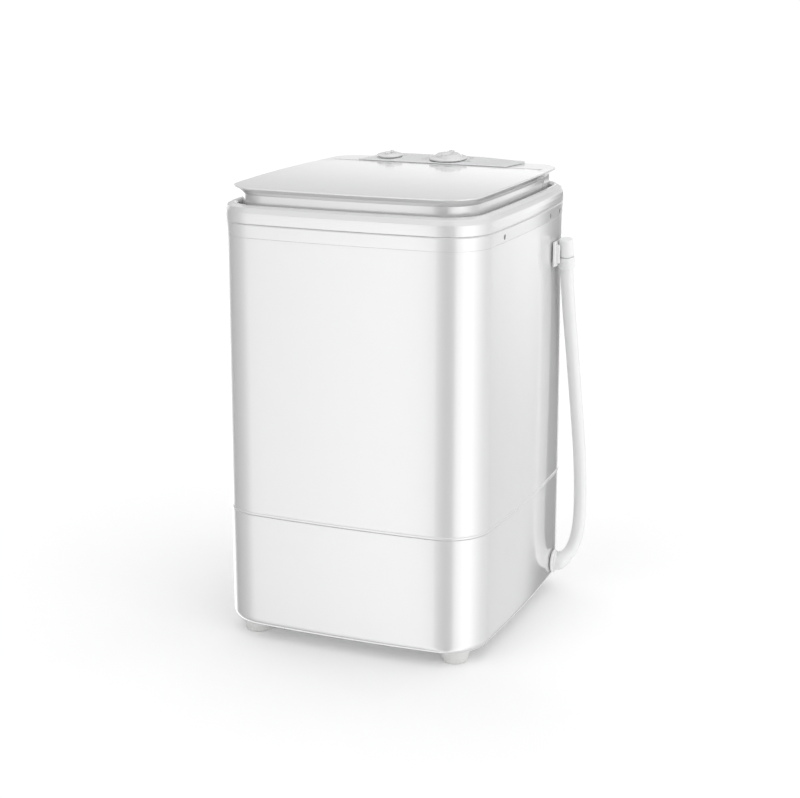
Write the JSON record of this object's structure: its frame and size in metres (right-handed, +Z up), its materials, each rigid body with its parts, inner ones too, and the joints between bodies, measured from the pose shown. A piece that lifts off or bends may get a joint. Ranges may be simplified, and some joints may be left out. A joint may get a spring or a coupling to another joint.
{
  "type": "top load washing machine",
  "caption": "Compact single-tub top load washing machine: plinth and cabinet, hinged lid, rear console with knobs, belt-driven pulsator, drain hose.",
  "frame": {"origin": "centre of the cabinet's footprint on the floor", "axes": "+Z up, -Y towards the front where the user stands, +X to the machine's right as seen from the front"},
  "size_m": [0.3957, 0.3913, 0.6002],
  "materials": {
    "gloss_white": "high gloss white moulding",
    "satin_white": "satin white moulding",
    "panel_white": "gloss pale grey overlay",
    "foot_plastic": "matt off-white rubber",
    "grey_plastic": "matt grey moulding",
    "hose_white": "soft satin off-white",
    "bright_steel": "zinc plated steel",
    "dark_metal": "dark cast metal",
    "black_rubber": "matt black rubber"
  },
  "bodies": {
    "root": {"base_plinth": "gloss_white", "base_plate": "bright_steel", "rear_cover": "satin_white", "cabinet_shell": "gloss_white", "top_frame": "gloss_white", "bezel_ring": "gloss_white", "frame_screw_left_1": "dark_metal", "frame_screw_left_2": "dark_metal", "frame_screw_left_3": "dark_metal", "frame_screw_right_1": "dark_metal", "frame_screw_right_2": "dark_metal", "frame_screw_right_3": "dark_metal", "foot_front_left": "foot_plastic", "foot_rear_left": "foot_plastic", "foot_front_right": "foot_plastic", "foot_rear_right": "foot_plastic", "power_cord_gland": "grey_plastic", "console_housing": "gloss_white", "control_panel": "panel_white", "hinge_pin_left": "bright_steel", "hinge_pin_right": "bright_steel", "wash_timer": "grey_plastic", "selector_switch": "grey_plastic", "wash_tub": "satin_white", "bearing_housing": "grey_plastic", "upper_bearing": "bright_steel", "lower_bearing": "bright_steel", "shaft_seal": "black_rubber", "drive_belt": "black_rubber", "motor_lower_shield": "dark_metal", "motor_stator": "bright_steel", "motor_upper_shield": "dark_metal", "motor_bracket": "bright_steel", "start_capacitor": "grey_plastic", "capacitor_clip": "bright_steel", "drain_sump": "grey_plastic", "drain_pipe": "grey_plastic", "drain_elbow": "hose_white", "drain_hose": "hose_white", "hose_collar": "hose_white", "hose_cap": "hose_white", "hose_clip": "hose_white"},
    "lid": {"lid_panel": "gloss_white", "lid_inner": "satin_white"},
    "pulsator_drive": {"pulsator": "gloss_white", "pulsator_screw": "bright_steel", "drive_shaft": "bright_steel", "drive_pulley": "dark_metal", "pulley_nut": "bright_steel"},
    "motor_rotor_body": {"motor_rotor": "bright_steel", "motor_shaft": "bright_steel", "motor_pulley": "dark_metal", "motor_fan": "grey_plastic"},
    "timer_dial": {"timer_knob": "gloss_white", "timer_shaft": "grey_plastic"},
    "selector_dial": {"selector_knob": "gloss_white", "selector_shaft": "grey_plastic"}
  },
  "joints": [
    {"name": "lid_hinge", "type": "hinge", "parent": "root", "child": "lid", "pos_m": [0, 0.121, 0.581], "axis": [-1, 0, 0], "range_deg": [0, 95]},
    {"name": "pulsator_spin", "type": "hinge", "parent": "root", "child": "pulsator_drive", "pos_m": [0, -0.0235, 0.1], "axis": [0, 0, 1], "continuous": true},
    {"name": "motor_spin", "type": "hinge", "parent": "root", "child": "motor_rotor_body", "pos_m": [-0.078, 0.098, 0.1], "axis": [0, 0, 1], "continuous": true},
    {"name": "timer_turn", "type": "hinge", "parent": "root", "child": "timer_dial", "pos_m": [0.006, 0.156, 0.58967], "axis": [0, 0.0739, -0.9973], "range_deg": [0, 300]},
    {"name": "selector_turn", "type": "hinge", "parent": "root", "child": "selector_dial", "pos_m": [-0.08, 0.156, 0.58967], "axis": [0, 0.0739, -0.9973], "range_deg": [0, 90]}
  ],
  "couplings": [
    {"joint": "motor_spin", "follows": "pulsator_spin", "ratio": 3.141}
  ]
}
